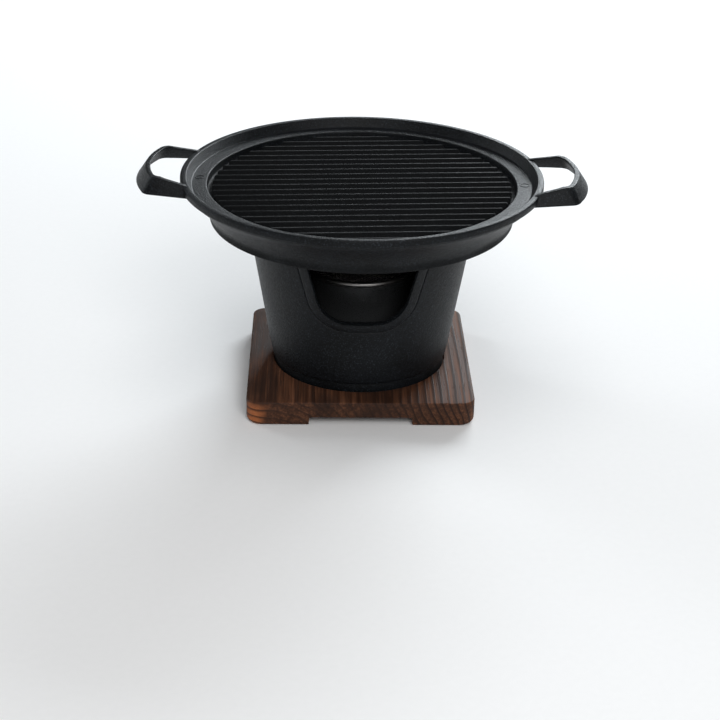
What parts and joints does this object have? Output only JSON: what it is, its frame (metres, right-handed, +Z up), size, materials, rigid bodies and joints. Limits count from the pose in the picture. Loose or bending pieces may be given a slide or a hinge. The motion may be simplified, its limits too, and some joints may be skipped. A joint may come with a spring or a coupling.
{
  "type": "hibachi grill",
  "caption": "Tabletop hibachi: ridged grill pan with loop handles on a conical stove with an open mouth, a spirit burner cup inside and a wooden base board.",
  "frame": {"origin": "centre of the bottom of the whole object, on the surface it stands on", "axes": "+X along the line through the two pan handles, +Y from the stove's open mouth at the front towards the back, +Z up"},
  "size_m": [0.2558, 0.205, 0.131],
  "materials": {
    "burnt_wood": "brushed and flame-darkened, oiled",
    "black_coating": "die cast, fine speckled black non-stick coating",
    "pan_coating": "die cast, fine speckled black non-stick coating",
    "cup_enamel": "drawn steel, satin black",
    "wadding": "ceramic fibre wadding",
    "gauze_steel": "woven wire, heat darkened",
    "ring_steel": "spun steel, heat darkened"
  },
  "bodies": {
    "board": {"base_board": "burnt_wood"},
    "stove": {"stove_body": "black_coating"},
    "burner": {"burner_cup": "cup_enamel", "burner_wick": "wadding", "burner_gauze": "gauze_steel", "burner_ring": "ring_steel"},
    "pan": {"grill_pan": "pan_coating"}
  },
  "joints": [
    {"name": "stove_lift", "type": "slide", "parent": "board", "child": "stove", "axis": [0, 0, 1], "range_m": [0, 0.06]},
    {"name": "pan_lift", "type": "slide", "parent": "stove", "child": "pan", "axis": [0, 0, 1], "range_m": [0, 0.18]},
    {"name": "burner_lift", "type": "slide", "parent": "stove", "child": "burner", "axis": [0, 0, 1], "range_m": [0, 0.09]}
  ],
  "couplings": [
    {"joint": "burner_lift", "follows": "pan_lift", "ratio": 0.5}
  ]
}
